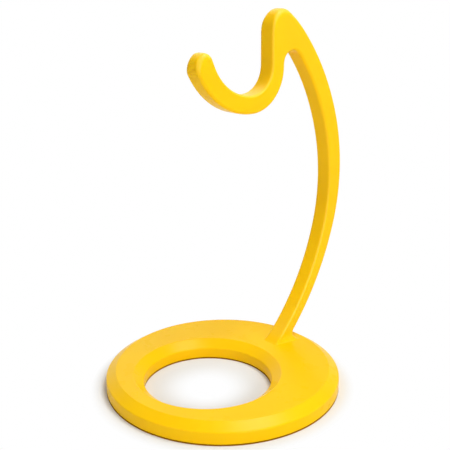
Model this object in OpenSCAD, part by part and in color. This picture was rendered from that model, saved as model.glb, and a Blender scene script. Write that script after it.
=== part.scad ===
// Counter-top fruit hanger, moulded in one piece.
// A round ring base carries one curved bar. The bar leans out from the base, arches over
// and drops as a short limb that curls into a hook for a bunch of fruit.
// The origin is at the middle of the whole outline, on the table. The bar lies in the XZ
// plane, with its hook towards -X. Sizes along X are given from the centre of the base disc.

/* [Base disc] */
// Radius of the base disc
base_r = 100; // [95:1:110]
// Height of the base disc
base_h = 15.8; // [14:0.2:20]
// Width of the sloped band round the top outside edge
rim_bevel_w = 8.5; // [5:0.5:10]
// Height of the sloped band round the top outside edge
rim_bevel_h = 5.5; // [4:0.5:8]
// Radius of the soft edges round the top of the base
base_edge = 1.8; // [0.8:0.2:2.2]
// Radius of the soft edges where the base meets the table
table_edge = 1; // [0.4:0.2:1.6]

/* [Hole in the base] */
// Radius of the hole at the table
hole_r = 54.3; // [48:0.5:58]
// How far the hole sits from the centre, away from the bar
hole_shift = 17.2; // [12:0.5:20]
// Width of the sloped band round the top of the hole
hole_bevel_w = 8.3; // [5:0.5:9]
// Height of the sloped band round the top of the hole
hole_bevel_h = 6.4; // [4:0.5:8]

/* [Bar] */
// Thickness of the bar across the plane of the hook
bar_t = 15.5; // [13:0.5:18]
// Radius of the soft edges along the bar
bar_edge = 2.4; // [1.4:0.2:3.2]
// Width of the stem where it runs into the arch
stem_w = 17; // [15:0.5:18.5]
// Width of the stem at its foot
foot_w = 11.3; // [10:0.5:14]
// Height at which the stem reaches its full width
stem_full_z = 230; // [200:5:240]

/* [Stem] */
// Distance from the base centre to the stem's outermost point
bow_x = 143; // [138:1:150]
// Height of the outermost point of the stem
bow_z = 164; // [158:1:170]
// Radius of the stem's outer face at the bow
bow_r = 171; // [160:1:180]
// Turn of the stem from its outermost point up to the upper sweep
bow_up = 17; // [10:1:20]
// Turn of the stem from its outermost point down to the lower sweep
bow_down = 17; // [10:1:20]
// Radius of the stem's outer face in the upper sweep
upper_r = 200; // [190:1:210]
// Radius of the stem's outer face in the lower sweep
lower_r = 234; // [215:1:245]

/* [Arch] */
// Height angle at which the upper sweep turns into the crown
crown_turn = 49.4; // [48:0.2:50]
// Outside radius of the crown, the tight turn at the top
crown_r = 12.5; // [10:0.5:14]
// Outside radius of the shoulder, where the arch turns down
shoulder_r = 22; // [19:0.5:24]
// Radius of the soft edges over the top of the crown
crown_edge = 5.2; // [3.6:0.2:6]
// Radius of the inside corner between the stem and the limb
crotch_r = 10.5; // [8:0.5:12]

/* [Hook] */
// Distance from the base centre to the outer face of the limb
limb_x = 51.8; // [49:0.2:53]
// Width of the limb
limb_w = 14.2; // [13:0.2:16]
// Length of the straight stretch on the limb's inner face, from the arch to the cradle
limb_run = 1.6; // [0.4:0.2:6]
// Inside radius of the cradle bend
cradle_in_r = 21.5; // [20:0.5:23]
// Outside radius of the cradle bend
cradle_out_r = 35; // [33:0.5:37]
// Width of the bar at the bottom of the cradle
cradle_w = 15.1; // [13.5:0.2:16.5]
// Inside radius of the sweep up to the tip
sweep_in_r = 45; // [43:0.5:47]
// Outside radius of the sweep up to the tip
sweep_out_r = 65.5; // [63:0.5:68]
// Turn of the outside sweep before it runs into the nose
nose_turn = 62; // [57:0.5:64]
// Radius of the nose at the tip
nose_r = 12; // [11:0.5:13]
// Radius of the inside corner of the tip
tip_corner_r = 6.5; // [6:0.5:7.5]
// Radius of the soft edges round the end of the tip
tip_edge = 5; // [3.6:0.2:5.2]

/* [Root] */
// Height of the flare that joins the bar to the base
root_h = 8.5; // [6:0.5:10]
// Spread of the flare under the lean of the stem
root_out = 10; // [6:0.5:11]
// Spread of the flare all round the side that faces the hole
root_in = 1.2; // [0.4:0.2:2.4]
// Spread of the flare on the flat sides, next to the lean
root_side = 8; // [3:0.5:9]

/* [Hidden] */
body_yellow = [0.98, 0.81, 0.07];
// Depth by which the bar runs down into the base
sink = 4;
// Furthest that a flat facet may lie from its true arc
arc_fault = 0.05;
// Facets round each soft edge of the bar, and levels in the flare of the root
edge_steps = 5;
root_steps = 7;

// Middle of the whole outline along X, which is where the origin goes
mid_x = (bow_x - base_r) / 2;
// Centres of the bow, and of the upper and lower sweeps that run on from it
bow_c = [bow_x - bow_r, bow_z];
upper_c = bow_c + (bow_r - upper_r) * [cos(bow_up), sin(bow_up)];
lower_c = bow_c + (bow_r - lower_r) * [cos(bow_down), -sin(bow_down)];
// The crown touches the outer face of the upper sweep from within
crown_c = upper_c + (upper_r - crown_r) * [cos(crown_turn), sin(crown_turn)];
// The shoulder touches the crown and stands level with the limb's outer face
shoulder_x = limb_x + shoulder_r;
shoulder_drop = sqrt(pow(shoulder_r - crown_r, 2) - pow(shoulder_x - crown_c[0], 2));
shoulder_c = [shoulder_x, crown_c[1] - shoulder_drop];
shoulder_turn = atan2(shoulder_drop, crown_c[0] - shoulder_x);
// The inside corner touches the limb's inner face and the inner face of the upper sweep
crotch_x = limb_x + limb_w + crotch_r;
crotch_reach = upper_r - stem_w - crotch_r;
crotch_rise = sqrt(pow(crotch_reach, 2) - pow(crotch_x - upper_c[0], 2));
crotch_c = [crotch_x, upper_c[1] + crotch_rise];
crotch_turn = atan2(crotch_rise, crotch_x - upper_c[0]);
// Both cradle bends end level, each over the centre of the sweep that runs on from it
cradle_out_c = [limb_x + limb_w - cradle_out_r, crotch_c[1] - limb_run];
cradle_floor = cradle_out_c[1] - cradle_out_r + cradle_w;
cradle_in_c = [limb_x - cradle_in_r, cradle_floor + cradle_in_r];
sweep_in_c = [cradle_in_c[0], cradle_floor + sweep_in_r];
sweep_out_c = [cradle_out_c[0], cradle_floor - cradle_w + sweep_out_r];
// The nose touches the outside sweep from within
nose_reach = sweep_out_r - nose_r;
nose_c = sweep_out_c - nose_reach * [sin(nose_turn), cos(nose_turn)];
// The tip's inside corner touches the nose from within and the inside sweep from beyond
tip_c = meeting(sweep_in_c, sweep_in_r + tip_corner_r, nose_c, nose_r - tip_corner_r);
sweep_in_end = atan2(tip_c[1] - sweep_in_c[1], tip_c[0] - sweep_in_c[0]);
tip_end = atan2(tip_c[1] - nose_c[1], tip_c[0] - nose_c[0]);
root_top = base_h + root_h;

// The point at distance rp from p and rq from q, on the right of the way from p to q
function meeting(p, rp, q, rq) =
    let (d = norm(q - p))
    let (u = (q - p) / d)
    let (along = (rp * rp - rq * rq + d * d) / (2 * d))
    let (aside = sqrt(rp * rp - along * along))
    p + along * u + aside * [u[1], -u[0]];

// Width of the stem at a height: it grows smoothly from the foot upwards
function stem_width(z) =
    foot_w + (stem_w - foot_w) * ease((z - base_h) / (stem_full_z - base_h));

// A share that rises smoothly from 0 to 1 as u does, and stays there beyond them
function ease(u) =
    let (v = max(0, min(1, u)))
    3 * v * v - 2 * v * v * v;

// Points along an arc, each with its outward direction: side is 1 for a face that bulges
// out from the centre and -1 for a face that is hollow. The first skip points are left out.
function arc(c, r, from, to, side, skip = 1) =
    let (n = ceil(abs(to - from) / (2 * acos(1 - arc_fault / r))))
    [for (k = [skip:n])
        let (a = from + (to - from) * k / n)
        let (way = [cos(a), sin(a)])
        [c + r * way, side * way]];

// The stem's inner face beside an arc of its outer face, set in by the stem's width
function inner_arc(c, r, from, to, skip = 1) =
    let (n = ceil(abs(to - from) / (2 * acos(1 - arc_fault / r))))
    [for (k = [skip:n])
        let (a = from + (to - from) * k / n)
        let (way = [cos(a), sin(a)])
        [c + (r - stem_width(c[1] + r * sin(a))) * way, -way]];

// The bar's outline above its root: up the outer face, over the arch, down the limb,
// round the hook and back up to the inside corner, then down the stem's inner face. The
// soft edge grows over the top of the crown and round the end of the tip.
foot_turn = asin((lower_c[1] - root_top) / lower_r);
inner_foot_turn = asin((lower_c[1] - root_top) / (lower_r - stem_width(root_top)));
outer_face = concat(
    arc(lower_c, lower_r, -foot_turn, -bow_down, 1),
    arc(bow_c, bow_r, -bow_down, 0, 1),
    arc(bow_c, bow_r, 0, bow_up, 1),
    arc(upper_c, upper_r, bow_up, crown_turn, 1),
    arc(crown_c, crown_r, crown_turn, shoulder_turn, 1),
    arc(shoulder_c, shoulder_r, shoulder_turn, 180, 1)
);
hook_face = concat(
    arc(cradle_in_c, cradle_in_r, 0, -90, -1, 0),
    arc(sweep_in_c, sweep_in_r, -90, sweep_in_end, -1),
    arc(tip_c, tip_corner_r, sweep_in_end + 180, tip_end, 1),
    arc(nose_c, nose_r, tip_end, 270 - nose_turn, 1),
    arc(sweep_out_c, sweep_out_r, 270 - nose_turn, 270, 1),
    arc(cradle_out_c, cradle_out_r, -90, 0, 1)
);
inner_face = concat(
    arc(crotch_c, crotch_r, 180, crotch_turn, -1, 0),
    inner_arc(upper_c, upper_r, crotch_turn, bow_up),
    inner_arc(bow_c, bow_r, bow_up, -bow_down),
    inner_arc(lower_c, lower_r, -bow_down, -inner_foot_turn)
);
outline = concat(
    soften(outer_face, crown_c, [0, 1], crown_r, crown_edge),
    soften(hook_face, nose_c, [-cos(nose_turn), sin(nose_turn)], nose_r, tip_edge),
    soften(inner_face, crotch_c, [0, 1], crotch_r, bar_edge)
);
outline_count = len(outline);

// Adds the radius of the soft edge to each point of a face: it grows from the bar's own
// to end_edge over the reach that lies beyond the centre in the direction way
function soften(face, centre, way, reach, end_edge) =
    [for (e = face)
        let (share = ease((e[0] - centre) * way / reach))
        [e[0], e[1], bar_edge + (end_edge - bar_edge) * share]];

// Levels of the root as [height, share of the flare's spread], from inside the base upwards
root_levels = concat(
    [[base_h - sink, 1]],
    [for (k = [0:root_steps])
        let (a = 90 * k / root_steps)
        [base_h + root_h * (1 - cos(a)), 1 - sin(a)]]
);

// One side of the root at a level, on the layer that lies inset from the outline
function root_point(level, side, inset, y) =
    let (z = level[0])
    let (face_r = side > 0 ? lower_r - inset : lower_r - stem_width(z) + inset)
    let (x = lower_c[0] + sqrt(pow(face_r, 2) - pow(z - lower_c[1], 2)))
    let (spread = side > 0 ? [root_out, root_side] : [-root_in, root_in])
    [x + spread[0] * level[1], y + sign(y) * spread[1] * level[1], z];

// One layer of the bar: its whole outline, taken round the soft edge by the angle a from
// the edge face (0) to the flat side (90). The front is at side -1 and the back at side 1.
function layer(a, side) =
    let (inset = bar_edge * (1 - cos(a)))
    let (y = side * (bar_t / 2 - bar_edge * (1 - sin(a))))
    concat(
        [for (level = root_levels) root_point(level, 1, inset, y)],
        [for (k = [0:outline_count - 2])
            let (e = outline[k])
            let (p = e[0] - e[2] * (1 - cos(a)) * e[1])
            [p[0], side * (bar_t / 2 - e[2] * (1 - sin(a))), p[1]]],
        [for (k = [len(root_levels) - 1:-1:0]) root_point(root_levels[k], -1, inset, y)]
    );

// The bar, layer by layer from its front face to its back face
module bar() {
    layers = concat(
        [for (k = [edge_steps:-1:0]) layer(90 * k / edge_steps, -1)],
        [for (k = [0:edge_steps]) layer(90 * k / edge_steps, 1)]
    );
    m = len(layers[0]);
    n = len(layers);
    last = (n - 1) * m;
    // The flat sides are filled along the bar; in the root they are cut level by level
    top = len(root_levels) - 1;
    limb_outside = top + len(outer_face);
    limb_inside = limb_outside + len(hook_face) + 1;
    side = concat(
        strip(layers[0], top, m - 1 - top, limb_outside, limb_inside),
        strip(layers[0], limb_outside, limb_inside, limb_inside, limb_outside)
    );
    polyhedron(
        points = [for (ring = layers) each ring],
        faces = concat(
            [for (t = side) [t[2], t[1], t[0]]],
            [for (k = [0:top - 1]) each triangles(k + 1, k, m - 1 - k, m - 2 - k)],
            [for (j = [0:n - 2], k = [0:m - 1])
                let (next = (k + 1) % m)
                each triangles(j * m + k, j * m + next, (j + 1) * m + next, (j + 1) * m + k)],
            [for (k = [0:top - 1])
                each triangles(last + k, last + k + 1, last + m - 2 - k, last + m - 1 - k)],
            [for (t = side) [last + t[0], last + t[1], last + t[2]]]
        ),
        convexity = 10
    );
}

// Twice the area of a triangle seen from the front, negative if it runs clockwise there
function turn(p, q, r) =
    (q[0] - p[0]) * (r[2] - p[2]) - (q[2] - p[2]) * (r[0] - p[0]);

// Triangles between the two edges of a strip: a counts up one edge to a_end and b counts
// down the other to b_end, or until they meet at its tip. The next triangle goes across the
// shorter way, unless it would reach over a bend and turn over.
function strip(ring, a, b, a_end, b_end) =
    b - a < 2 || (a == a_end && b == b_end) ? [] :
    let (left_fits = a < a_end && turn(ring[a], ring[a + 1], ring[b]) > 0)
    let (right_fits = b > b_end && turn(ring[a], ring[b - 1], ring[b]) > 0)
    let (left_shorter = norm(ring[a + 1] - ring[b]) < norm(ring[a] - ring[b - 1]))
    (left_fits && (left_shorter || !right_fits)) || b == b_end ?
        concat([[a, a + 1, b]], strip(ring, a + 1, b, a_end, b_end)) :
        concat([[a, b - 1, b]], strip(ring, a, b - 1, a_end, b_end));

// A four-sided face as two triangles
function triangles(a, b, c, d) = [[a, b, c], [a, c, d]];

// Points that round the corner b between a and c with radius r
function soft_corner(a, b, c, r, steps = 5) =
    let (u = (a - b) / norm(a - b))
    let (v = (c - b) / norm(c - b))
    let (half = acos(u * v) / 2)
    let (mid = b + r / sin(half) * (u + v) / norm(u + v))
    let (p = b + r / tan(half) * u - mid)
    let (q = b + r / tan(half) * v - mid)
    let (start = atan2(p[1], p[0]))
    let (turn = atan2(q[1], q[0]) - start)
    let (swing = turn > 180 ? turn - 360 : (turn < -180 ? turn + 360 : turn))
    [for (k = [0:steps])
        let (a = start + swing * k / steps)
        mid + r * [cos(a), sin(a)]];

// Section of the solid disc, from its axis out to its sloped rim
module disc_section() {
    top_mid = [0, base_h];
    rim_top = [base_r - rim_bevel_w, base_h];
    rim_out = [base_r, base_h - rim_bevel_h];
    rim_low = [base_r, 0];
    foot_mid = [0, 0];
    polygon(concat(
        [foot_mid, top_mid],
        soft_corner(top_mid, rim_top, rim_out, base_edge),
        soft_corner(rim_top, rim_out, rim_low, base_edge),
        soft_corner(rim_out, rim_low, foot_mid, table_edge)
    ));
}

// Section of the hole: straight at the table, with a sloped band at the top
module hole_section() {
    under = [base_r, 0];
    low = [hole_r, 0];
    neck = [hole_r, base_h - hole_bevel_h];
    brim = [hole_r + hole_bevel_w, base_h];
    above = [base_r, base_h];
    mouth = soft_corner(neck, brim, above, base_edge);
    foot = soft_corner(under, low, neck, table_edge);
    polygon(concat(
        [[0, -1], [foot[0][0], -1]],
        foot,
        soft_corner(low, neck, brim, base_edge),
        mouth,
        [[mouth[len(mouth) - 1][0], base_h + 1], [0, base_h + 1]]
    ));
}

// The ring base, with its hole off centre
module base() {
    difference() {
        rotate_extrude($fn = 180)
            disc_section();
        translate([-hole_shift, 0, 0])
            rotate_extrude($fn = 180)
                hole_section();
    }
}

module hanger() {
    color(body_yellow) {
        translate([-mid_x, 0, 0]) {
            base();
            bar();
        }
    }
}

hanger();
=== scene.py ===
"""Studio picture of a counter-top hanger, moulded in one piece of yellow polypropylene.

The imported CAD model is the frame. This script smooths and dresses it, and adds the floor,
the lamps and the camera. Lengths are in metres, and in millimetres where a name ends in
_mm. Angles are in degrees where a name ends in _deg.
"""

import logging
import math
from dataclasses import dataclass, field
from enum import Enum
from typing import Any, Iterable, Optional

import bpy
from mathutils import Matrix, Vector


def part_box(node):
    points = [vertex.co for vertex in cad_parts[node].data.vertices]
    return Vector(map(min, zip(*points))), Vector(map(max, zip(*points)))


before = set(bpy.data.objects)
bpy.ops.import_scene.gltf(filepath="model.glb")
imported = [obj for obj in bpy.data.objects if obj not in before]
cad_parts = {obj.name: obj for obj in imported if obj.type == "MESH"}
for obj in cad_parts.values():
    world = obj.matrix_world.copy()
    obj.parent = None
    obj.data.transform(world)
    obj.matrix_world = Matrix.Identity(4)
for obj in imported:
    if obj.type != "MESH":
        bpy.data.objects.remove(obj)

logging.basicConfig(level=logging.INFO, format="%(name)s: %(message)s")
LOG = logging.getLogger("hanger")

MM = 0.001
# The part's only CAD node
NODE = "hanger"


def linear(hex_code: str) -> tuple[float, float, float, float]:
    """Turn an sRGB hex colour into a linear colour with alpha 1.

    Args:
        hex_code: Six hex digits, such as "ffd21a".

    Returns:
        Red, green, blue and alpha, each from 0 to 1, in linear light.
    """
    channels = [int(hex_code[i : i + 2], 16) / 255 for i in (0, 2, 4)]
    red, green, blue = (
        c / 12.92 if c <= 0.04045 else ((c + 0.055) / 1.055) ** 2.4 for c in channels
    )
    return red, green, blue, 1.0


def per_metre(size_mm: float) -> float:
    """Give the texture scale at which one feature of a pattern is size_mm across."""
    return 1 / (size_mm * MM)


def add_node(
    tree: bpy.types.NodeTree,
    kind: str,
    settings: Optional[dict[str, Any]] = None,
    inputs: Optional[dict[Any, Any]] = None,
    links: Optional[dict[Any, bpy.types.NodeSocket]] = None,
) -> bpy.types.Node:
    """Add a node with its settings, its input values and its incoming links.

    Args:
        tree: The node tree that gets the node.
        kind: Blender's name for the node's type.
        settings: Attribute names and values of the node itself.
        inputs: Input sockets, by name or number, and their constant values.
        links: Input sockets, by name or number, and the output sockets that feed them.

    Returns:
        The new node.
    """
    node = tree.nodes.new(kind)
    for name, value in (settings or {}).items():
        setattr(node, name, value)
    for socket, value in (inputs or {}).items():
        node.inputs[socket].default_value = value
    for socket, source in (links or {}).items():
        tree.links.new(source, node.inputs[socket])
    return node


def new_material(name: str) -> tuple[bpy.types.Material, bpy.types.NodeTree]:
    """Make an empty node material.

    Args:
        name: The material's name.

    Returns:
        The material and its node tree, cleared.
    """
    material = bpy.data.materials.new(name)
    material.use_nodes = True
    material.node_tree.nodes.clear()
    return material, material.node_tree


def seen_rays(tree: bpy.types.NodeTree) -> bpy.types.NodeSocket:
    """Tell the rays that show the surroundings from those that light the part.

    Args:
        tree: The material's or the world's node tree.

    Returns:
        A socket that is 1 for what the camera sees directly, in gloss or through glass.
    """
    ray = add_node(tree, "ShaderNodeLightPath")
    seen = ray.outputs["Is Camera Ray"]
    for kind in ("Is Glossy Ray", "Is Transmission Ray"):
        seen = add_node(
            tree,
            "ShaderNodeMath",
            settings={"operation": "MAXIMUM"},
            links={0: seen, 1: ray.outputs[kind]},
        ).outputs["Value"]
    return seen


class Gloss(Enum):
    """How the steel mould was finished, which sets the roughness of the plastic."""

    POLISHED = 0.18
    SATIN = 0.30
    SPARKED = 0.55


@dataclass(frozen=True)
class MouldedPolypropylene:
    """Polypropylene with yellow pigment, injection-moulded in a finely blasted steel mould.

    The pigment goes right through, so the colour is even and warm, and a little light
    spreads inside it. The blasted mould leaves a satin skin: soft, broad highlights with a
    faint pebble in them. The melt's flow leaves slow drifts of tone, and of gloss in the
    body under the skin. The bar's soft edges and the faces that look up get a paler painted
    highlight.
    """

    name: str = "yellow_polypropylene_satin"
    tone: str = "fdc802"
    deep_tone: str = "f9bf01"
    # Paler tone painted on the bar's soft edges and upward tops, as a painted highlight
    painted_highlight_tone: str = "ffd763"
    gloss: Gloss = Gloss.SATIN
    ior: float = 1.49
    # Moulding leaves a thin clear skin of polymer over the pigment. It gives the highlights,
    # and the pigmented body below it has next to no gloss of its own
    skin_weight: float = 0.22
    specular_level: float = 0.02
    # Pigment tints what little the body mirrors
    gloss_tone: str = "fff2bc"
    # The share of the light that spreads inside, and how far: red the furthest, then green
    spread_share: float = 0.2
    spread_mm: float = 3.0
    spread_by_colour: tuple[float, float, float] = (1.0, 0.55, 0.08)
    # The melt's flow shows as drifts of tone, a few times as wide as the bar
    flow_mm: float = 55.0
    flow_share: float = 0.5
    # The body's roughness drifts up and down by this much, about once in the bar's width
    drift_mm: float = 18.0
    drift_depth: float = 0.06
    # Real blasted grain is near 0.15 mm; it is drawn at 0.8 mm so that it shows at all
    grain_mm: float = 0.8
    grain_depth_mm: float = 0.007
    # Slow waves in the skin, as cooling plastic draws in over thick stretches
    sink_mm: float = 28.0
    sink_depth_mm: float = 0.10
    # A painted highlight pales the bar's soft edges and tops, from above the flare at its
    # foot
    painted_highlight_share: float = 0.4
    painted_highlight_height_mm: tuple[float, float] = (18.0, 26.0)
    # How far a face looks aside, from 0 to 1, as it turns into a soft edge, first from the
    # narrow faces of the bar and then from its flat sides
    edge_from_narrow: tuple[float, float] = (0.15, 0.55)
    edge_from_flat: tuple[float, float] = (0.985, 0.80)
    # How far a face looks up, from -1 to 1, as it gets the painted highlight, on an edge and
    # on a top
    edge_looks_up: tuple[float, float] = (-0.6, 0.9)
    top_looks_up: tuple[float, float] = (0.55, 0.95)

    def build(self) -> bpy.types.Material:
        """Make the material.

        Returns:
            The finished material.
        """
        material, tree = new_material(self.name)
        place = add_node(tree, "ShaderNodeTexCoord").outputs["Object"]
        colour = self._colour(tree, place)
        roughness = self._roughness(tree, place)
        normal = self._skin(tree, place)
        shader = add_node(
            tree,
            "ShaderNodeBsdfPrincipled",
            inputs={
                "IOR": self.ior,
                "Specular IOR Level": self.specular_level,
                "Specular Tint": linear(self.gloss_tone),
                "Subsurface Weight": self.spread_share,
                "Subsurface Radius": self.spread_by_colour,
                "Subsurface Scale": self.spread_mm * MM,
                "Coat Weight": self.skin_weight,
                "Coat IOR": self.ior,
                "Coat Roughness": self.gloss.value,
            },
            links={
                "Base Color": colour,
                "Roughness": roughness,
                "Normal": normal,
                "Coat Normal": normal,
            },
        )
        add_node(
            tree,
            "ShaderNodeOutputMaterial",
            links={"Surface": shader.outputs["BSDF"]},
        )
        return material

    def _colour(
        self, tree: bpy.types.NodeTree, place: bpy.types.NodeSocket
    ) -> bpy.types.NodeSocket:
        """Pigment that drifts with the melt's flow, with a painted highlight on the bar's
        soft edges and tops.

        Args:
            tree: The material's node tree.
            place: The position on the part, in metres.

        Returns:
            The colour socket.
        """
        flow = add_node(
            tree,
            "ShaderNodeTexNoise",
            inputs={"Scale": per_metre(self.flow_mm), "Detail": 3.0, "Roughness": 0.45},
            links={"Vector": place},
        )
        drift = add_node(
            tree,
            "ShaderNodeMapRange",
            inputs={"From Min": 0.35, "From Max": 0.7, "To Max": self.flow_share},
            links={"Value": flow.outputs["Fac"]},
        )
        body = add_node(
            tree,
            "ShaderNodeMix",
            settings={"data_type": "RGBA"},
            inputs={"A": linear(self.tone), "B": linear(self.deep_tone)},
            links={"Factor": drift.outputs["Result"]},
        )
        # Painted highlight: the paler tone mixed in on the bar's soft edges and tops
        return add_node(
            tree,
            "ShaderNodeMix",
            settings={"data_type": "RGBA"},
            inputs={"B": linear(self.painted_highlight_tone)},
            links={"Factor": self._painted_highlights(tree, place), "A": body.outputs["Result"]},
        ).outputs["Result"]

    def _painted_highlights(
        self, tree: bpy.types.NodeTree, place: bpy.types.NodeSocket
    ) -> bpy.types.NodeSocket:
        """Find where the bar gets its painted highlight: its soft edges and the faces that
        look up.

        Args:
            tree: The material's node tree.
            place: The position on the part, in metres.

        Returns:
            A socket that rises to its highest share where the painted highlight falls on the
            bar.
        """
        surface = add_node(tree, "ShaderNodeTexCoord")
        facing, point = (
            add_node(tree, "ShaderNodeSeparateXYZ", links={"Vector": source}).outputs
            for source in (surface.outputs["Normal"], place)
        )
        aside = add_node(
            tree,
            "ShaderNodeMath",
            settings={"operation": "ABSOLUTE"},
            links={0: facing["Y"]},
        ).outputs["Value"]
        height = (self.painted_highlight_height_mm[0] * MM, self.painted_highlight_height_mm[1] * MM)
        from_narrow, from_flat, edge_up, top_up, on_bar = (
            add_node(
                tree,
                "ShaderNodeMapRange",
                settings={"interpolation_type": "SMOOTHSTEP"},
                inputs={"From Min": start, "From Max": full, "To Max": highest},
                links={"Value": value},
            ).outputs["Result"]
            for value, (start, full), highest in (
                (aside, self.edge_from_narrow, 1.0),
                (aside, self.edge_from_flat, 1.0),
                (facing["Z"], self.edge_looks_up, 1.0),
                (facing["Z"], self.top_looks_up, 1.0),
                (point["Z"], height, self.painted_highlight_share),
            )
        )
        # The painted highlight goes on a soft edge, which turns from both kinds of face and
        # looks up, and on a top, which only looks up. Both count on the bar alone
        highlit = from_narrow
        for how, share in (
            ("MULTIPLY", from_flat),
            ("MULTIPLY", edge_up),
            ("MAXIMUM", top_up),
            ("MULTIPLY", on_bar),
        ):
            highlit = add_node(
                tree,
                "ShaderNodeMath",
                settings={"operation": how},
                links={0: highlit, 1: share},
            ).outputs["Value"]
        return highlit

    def _roughness(
        self, tree: bpy.types.NodeTree, place: bpy.types.NodeSocket
    ) -> bpy.types.NodeSocket:
        """Roughness of the body under the skin, which drifts with how the mould filled.

        Args:
            tree: The material's node tree.
            place: The position on the part, in metres.

        Returns:
            The roughness socket.
        """
        drift = add_node(
            tree,
            "ShaderNodeTexNoise",
            inputs={"Scale": per_metre(self.drift_mm), "Detail": 4.0, "Roughness": 0.6},
            links={"Vector": place},
        )
        return add_node(
            tree,
            "ShaderNodeMapRange",
            inputs={
                "From Min": 0.3,
                "From Max": 0.7,
                "To Min": self.gloss.value - self.drift_depth,
                "To Max": self.gloss.value + self.drift_depth,
            },
            links={"Value": drift.outputs["Fac"]},
        ).outputs["Result"]

    def _skin(
        self, tree: bpy.types.NodeTree, place: bpy.types.NodeSocket
    ) -> bpy.types.NodeSocket:
        """The blasted grain over slow sink waves.

        Args:
            tree: The material's node tree.
            place: The position on the part, in metres.

        Returns:
            The normal socket.
        """
        waves = add_node(
            tree,
            "ShaderNodeTexNoise",
            inputs={"Scale": per_metre(self.sink_mm), "Detail": 1.0},
            links={"Vector": place},
        )
        sink = add_node(
            tree,
            "ShaderNodeBump",
            inputs={"Strength": 0.6, "Distance": self.sink_depth_mm * MM},
            links={"Height": waves.outputs["Fac"]},
        )
        pebble = add_node(
            tree,
            "ShaderNodeTexNoise",
            inputs={"Scale": per_metre(self.grain_mm), "Detail": 2.0, "Roughness": 0.6},
            links={"Vector": place},
        )
        grain = add_node(
            tree,
            "ShaderNodeBump",
            inputs={"Strength": 0.5, "Distance": self.grain_depth_mm * MM},
            links={"Height": pebble.outputs["Fac"], "Normal": sink.outputs["Normal"]},
        )
        return grain.outputs["Normal"]


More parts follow.
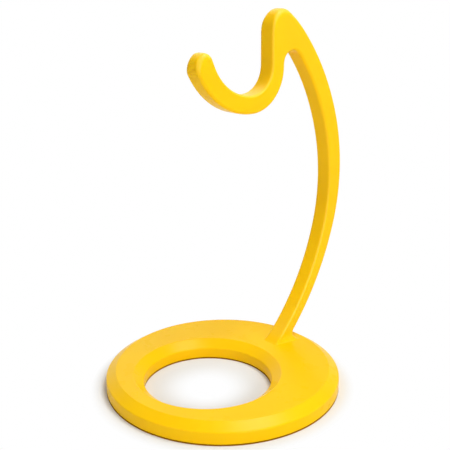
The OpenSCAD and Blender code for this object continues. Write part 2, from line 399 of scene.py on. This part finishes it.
@dataclass(frozen=True)
class PaperSweep:
    """Matt white studio paper: a plain floor that fades into the background.

    Close to the part's foot it is lit paper, which keeps the part's soft shadow, and under
    the foot it carries a painted dark brown shade. Further off, outside the base and in the
    middle of its hole, the camera and reflections see it as even white. The light that the
    part gets back from it is that of plain paper.
    """

    # Radius of the base's foot. The paper's own centre lies below the base's
    foot_r_mm: float
    name: str = "white_paper_sweep"
    tone: str = "e8e8e6"
    # Painted shade: the paper under the foot is coloured dark brown, as the shade there,
    # where light only gets in by way of the yellow underside
    contact_shade_tone: str = "b27d16"
    # How softly the painted shade begins, to either side of the foot's edge
    contact_shade_soft_mm: float = 0.3
    # The hole in the base: where its centre lies along X from the base's own, and its radius
    hole_x_mm: float = -17.2
    hole_r_mm: float = 54.3
    # The paper turns from lit to even white over these distances from the edge of the
    # foot, outside the base and inside its hole, where the walls shade more of it
    fade_outside_mm: tuple[float, float] = (1.0, 15.0)
    fade_inside_mm: tuple[float, float] = (9.0, 40.0)

    def build(self) -> bpy.types.Material:
        """Make the material.

        Returns:
            The finished material.
        """
        material, tree = new_material(self.name)
        # Painted shade: dark brown on the paper under the foot, plain paper elsewhere
        tone = add_node(
            tree,
            "ShaderNodeMix",
            settings={"data_type": "RGBA"},
            inputs={"A": linear(self.tone), "B": linear(self.contact_shade_tone)},
            links={"Factor": self._contact_shade_share(tree)},
        )
        paper = add_node(
            tree,
            "ShaderNodeBsdfDiffuse",
            inputs={"Roughness": 1.0},
            links={"Color": tone.outputs["Result"]},
        )
        white = add_node(
            tree,
            "ShaderNodeEmission",
            inputs={"Color": (1.0, 1.0, 1.0, 1.0), "Strength": 1.0},
        )
        seen = add_node(
            tree,
            "ShaderNodeMath",
            settings={"operation": "MULTIPLY"},
            links={0: seen_rays(tree), 1: self._white_share(tree)},
        )
        mixed = add_node(
            tree,
            "ShaderNodeMixShader",
            links={
                "Fac": seen.outputs["Value"],
                1: paper.outputs["BSDF"],
                2: white.outputs["Emission"],
            },
        )
        add_node(
            tree,
            "ShaderNodeOutputMaterial",
            links={"Surface": mixed.outputs["Shader"]},
        )
        return material

    def _white_share(self, tree: bpy.types.NodeTree) -> bpy.types.NodeSocket:
        """Tell how far the bare paper has turned to even white.

        Args:
            tree: The material's node tree.

        Returns:
            A socket that rises from 0 at the foot of the base to 1 away from it.
        """
        foot, hole = self.foot_r_mm, self.hole_r_mm
        (lit_out, white_out), (lit_in, white_in) = self.fade_outside_mm, self.fade_inside_mm
        return add_node(
            tree,
            "ShaderNodeMath",
            settings={"operation": "MAXIMUM"},
            links={
                0: self._ring(tree, 0.0, foot + lit_out, foot + white_out),
                1: self._ring(tree, self.hole_x_mm, hole - lit_in, hole - white_in),
            },
        ).outputs["Value"]

    def _contact_shade_share(self, tree: bpy.types.NodeTree) -> bpy.types.NodeSocket:
        """Tell which paper lies under the foot, inside its rim and outside its hole, and
        gets the painted shade.

        Args:
            tree: The material's node tree.

        Returns:
            A socket that is 1 under the foot and 0 elsewhere.
        """
        foot, hole, soft = self.foot_r_mm, self.hole_r_mm, self.contact_shade_soft_mm
        return add_node(
            tree,
            "ShaderNodeMath",
            settings={"operation": "MINIMUM"},
            links={
                0: self._ring(tree, 0.0, foot + soft, foot - soft),
                1: self._ring(tree, self.hole_x_mm, hole - soft, hole + soft),
            },
        ).outputs["Value"]

    @staticmethod
    def _ring(
        tree: bpy.types.NodeTree, x_mm: float, start_mm: float, full_mm: float
    ) -> bpy.types.NodeSocket:
        """Make a share that rises from one radius to another round a point on the paper.

        Args:
            tree: The material's node tree.
            x_mm: Where the point lies along X from the paper's own centre.
            start_mm: The radius at which the share leaves 0.
            full_mm: The radius at which it reaches 1.

        Returns:
            The share's socket.
        """
        radius = add_node(
            tree,
            "ShaderNodeVectorMath",
            settings={"operation": "DISTANCE"},
            inputs={1: (x_mm * MM, 0.0, 0.0)},
            links={0: add_node(tree, "ShaderNodeTexCoord").outputs["Object"]},
        )
        return add_node(
            tree,
            "ShaderNodeMapRange",
            settings={"interpolation_type": "SMOOTHSTEP"},
            inputs={"From Min": start_mm * MM, "From Max": full_mm * MM},
            links={"Value": radius.outputs["Value"]},
        ).outputs["Result"]


@dataclass
class Hanger:
    """The moulded hanger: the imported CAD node, smoothed and dressed."""

    finish: MouldedPolypropylene = field(default_factory=MouldedPolypropylene)
    # Corners sharper than this stay crisp. The facets of the soft edges meet at far less
    crisp_deg: float = 30.0
    # Corners of facets that lie closer together than this are one point
    weld_mm: float = 0.002
    # How much large faces count over small ones in the normals. At 50 all count alike
    large_face_weight: int = 90

    def build(self) -> bpy.types.Object:
        """Take the CAD node and let its soft edges shade smoothly.

        Returns:
            The node's object.
        """
        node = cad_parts[NODE]
        modifier = node.modifiers.new("smooth_skin", "NODES")
        modifier.node_group = self._smoothing()
        even = node.modifiers.new("even_normals", "WEIGHTED_NORMAL")
        even.mode = "FACE_AREA"
        even.weight = self.large_face_weight
        even.keep_sharp = True
        LOG.info("%s: %d points", node.name, len(node.data.vertices))
        return node

    def dress(self, node: bpy.types.Object) -> None:
        """Give the node its plastic.

        Args:
            node: The object from build().
        """
        material = self.finish.build()
        if not node.material_slots:
            node.data.materials.append(material)
        for slot in node.material_slots:
            slot.material = material

    def _smoothing(self) -> bpy.types.NodeTree:
        """Weld the facets and shade them smoothly, with crisp corners kept.

        Returns:
            The geometry node group.
        """
        group = bpy.data.node_groups.new("smooth_skin", "GeometryNodeTree")
        group.interface.new_socket(
            "Geometry", in_out="INPUT", socket_type="NodeSocketGeometry"
        )
        group.interface.new_socket(
            "Geometry", in_out="OUTPUT", socket_type="NodeSocketGeometry"
        )
        start = add_node(group, "NodeGroupInput")
        weld = add_node(
            group,
            "GeometryNodeMergeByDistance",
            inputs={"Distance": self.weld_mm * MM},
            links={"Geometry": start.outputs[0]},
        )
        soft = add_node(
            group,
            "GeometryNodeSetShadeSmooth",
            settings={"domain": "FACE"},
            links={"Geometry": weld.outputs["Geometry"]},
        )
        angle = add_node(group, "GeometryNodeInputMeshEdgeAngle")
        sharp = add_node(
            group,
            "FunctionNodeCompare",
            settings={"data_type": "FLOAT", "operation": "GREATER_THAN"},
            inputs={"B": math.radians(self.crisp_deg)},
            links={"A": angle.outputs["Unsigned Angle"]},
        )
        crisp = add_node(
            group,
            "GeometryNodeSetShadeSmooth",
            settings={"domain": "EDGE"},
            inputs={"Shade Smooth": False},
            links={
                "Geometry": soft.outputs["Geometry"],
                "Selection": sharp.outputs["Result"],
            },
        )
        add_node(group, "NodeGroupOutput", links={0: crisp.outputs["Geometry"]})
        return group


@dataclass(frozen=True)
class SoftBox:
    """A square studio lamp with a diffuser, given by where it stands seen from the part."""

    name: str
    azimuth_deg: float
    elevation_deg: float
    size: float
    power: float
    distance: float = 1.6
    tone: str = "ffffff"

    def build(self, target: Vector) -> bpy.types.Object:
        """Place the lamp so that it faces the target.

        Args:
            target: The point that the lamp faces.

        Returns:
            The lamp's object.
        """
        data = bpy.data.lights.new(self.name, "AREA")
        data.shape = "SQUARE"
        data.size = self.size
        data.energy = self.power
        data.color = linear(self.tone)[:3]
        lamp = bpy.data.objects.new(self.name, data)
        bpy.context.scene.collection.objects.link(lamp)
        azimuth = math.radians(self.azimuth_deg)
        elevation = math.radians(self.elevation_deg)
        away = Vector(
            (
                math.cos(azimuth) * math.cos(elevation),
                math.sin(azimuth) * math.cos(elevation),
                math.sin(elevation),
            )
        )
        lamp.location = target + away * self.distance
        lamp.rotation_euler = away.to_track_quat("Z", "Y").to_euler()
        return lamp


@dataclass
class Studio:
    """The floor, the lamps and the surrounding light."""

    floor_size: float = 12.0
    # The base rests on its unseen low spots, so a thin dark line shows all round its foot,
    # deepened by the painted shade on the paper under it
    stand_off_mm: float = 0.9
    # How strongly the surroundings light the part. They show as 1, which is white
    sky_strength: float = 0.25
    # The point that all lamps face, a little below the middle of the part
    target: Vector = field(default_factory=lambda: Vector((0.0, 0.0, 0.13)))
    lamps: tuple[SoftBox, ...] = (
        # One almost overhead, a little to the front right, lights the base and is mirrored
        # in the front of its sloped band
        SoftBox("top_light", azimuth_deg=-60.0, elevation_deg=71.0, size=0.66, power=15.9),
        # A low one in front lights the flat front of the bar and the wall of the base
        SoftBox("front_light", azimuth_deg=-105.0, elevation_deg=12.0, size=0.8, power=11.4),
        # Weak ones to the left and right keep the faces on those sides from going dull
        SoftBox("left_light", azimuth_deg=-175.0, elevation_deg=16.0, size=0.8, power=3.4),
        SoftBox("right_light", azimuth_deg=-40.0, elevation_deg=15.0, size=0.9, power=2.0),
        # One behind throws the base's soft shade to the front left and into the hole
        SoftBox("back_light", azimuth_deg=50.0, elevation_deg=58.0, size=1.4, power=6.0),
        # A low one behind lights the flat back of the bar
        SoftBox("back_fill", azimuth_deg=75.0, elevation_deg=12.0, size=1.4, power=4.0),
    )

    def build(self) -> None:
        """Build the floor, the lamps and the surrounding light."""
        self._floor()
        for lamp in self.lamps:
            lamp.build(self.target)
            LOG.info("%s: %.0f W", lamp.name, lamp.power)
        self._surroundings()

    def _floor(self) -> None:
        """Lay the paper just under the base, with its own centre below that of the disc."""
        low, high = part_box(NODE)
        # The base is the widest part along Y, and reaches the furthest towards -X
        foot_r = (high.y - low.y) / 2
        half = self.floor_size / 2
        mesh = bpy.data.meshes.new("paper_floor")
        mesh.from_pydata(
            [(-half, -half, 0), (half, -half, 0), (half, half, 0), (-half, half, 0)],
            [],
            [(0, 1, 2, 3)],
        )
        mesh.materials.append(PaperSweep(foot_r_mm=foot_r / MM).build())
        floor = bpy.data.objects.new("paper_floor", mesh)
        floor.location = (low.x + foot_r, 0.0, low.z - self.stand_off_mm * MM)
        bpy.context.scene.collection.objects.link(floor)

    def _surroundings(self) -> None:
        """Even light from all round, seen as white by the camera and in reflections."""
        world = bpy.data.worlds.new("studio_surroundings")
        bpy.context.scene.world = world
        world.use_nodes = True
        tree = world.node_tree
        tree.nodes.clear()
        strength = add_node(
            tree,
            "ShaderNodeMapRange",
            inputs={"To Min": self.sky_strength, "To Max": 1.0},
            links={"Value": seen_rays(tree)},
        )
        background = add_node(
            tree,
            "ShaderNodeBackground",
            inputs={"Color": (1.0, 1.0, 1.0, 1.0)},
            links={"Strength": strength.outputs["Result"]},
        )
        add_node(
            tree,
            "ShaderNodeOutputWorld",
            links={"Surface": background.outputs["Background"]},
        )


@dataclass(frozen=True)
class StudioCamera:
    """The camera, set by the photograph's own perspective."""

    location: tuple[float, float, float] = (-0.44087, -0.45568, 0.33995)
    yaw_deg: float = 42.922
    pitch_deg: float = 17.750
    roll_deg: float = -0.506
    focal_mm: float = 63.70
    sensor_mm: float = 36.0

    def build(self) -> bpy.types.Object:
        """Place the camera and make it the scene's own.

        Returns:
            The camera's object.
        """
        yaw = math.radians(self.yaw_deg)
        pitch = math.radians(self.pitch_deg)
        roll = math.radians(self.roll_deg)
        right = Vector((math.cos(yaw), -math.sin(yaw), 0.0))
        away = Vector((math.sin(yaw), math.cos(yaw), 0.0))
        up = away * math.sin(pitch) + Vector((0.0, 0.0, math.cos(pitch)))
        back = right.cross(up)
        side = right * math.cos(roll) + up * math.sin(roll)
        top = up * math.cos(roll) - right * math.sin(roll)
        data = bpy.data.cameras.new("studio_camera")
        data.lens = self.focal_mm
        data.sensor_width = self.sensor_mm
        data.clip_start = 0.01
        data.clip_end = 50.0
        camera = bpy.data.objects.new("studio_camera", data)
        bpy.context.scene.collection.objects.link(camera)
        camera.matrix_world = Matrix.Translation(self.location) @ Matrix(
            (side, top, back)
        ).transposed().to_4x4()
        bpy.context.scene.camera = camera
        return camera


def main() -> None:
    """Build the hanger's dress, the studio and the camera."""
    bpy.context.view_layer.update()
    bpy.context.scene.view_settings.view_transform = "Standard"
    StudioCamera().build()
    Studio().build()
    hanger = Hanger()
    hanger.dress(hanger.build())
    LOG.info("sizes noted")


if __name__ == "__main__":
    main()
